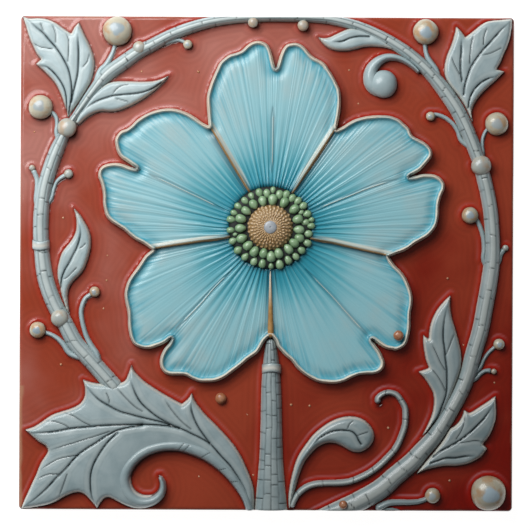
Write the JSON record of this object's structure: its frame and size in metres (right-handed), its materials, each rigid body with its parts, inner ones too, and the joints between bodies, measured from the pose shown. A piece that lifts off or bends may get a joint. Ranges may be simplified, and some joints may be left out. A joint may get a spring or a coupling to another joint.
{
  "type": "relief-moulded ceramic wall tile",
  "caption": "Square glazed ceramic tile with a flower, vine ring, leaves and berries moulded in relief, and shallow key grooves in its back.",
  "frame": {"origin": "centre of the back face, on the bed plane", "axes": "+Z out of the glazed face, +Y towards the top of the design, +X to the right seen from the front"},
  "size_m": [0.1524, 0.1524, 0.017],
  "materials": {
    "glaze": "glossy coloured majolica glazes over fired clay"
  },
  "bodies": {
    "root": {"tile": "glaze"}
  },
  "joints": []
}
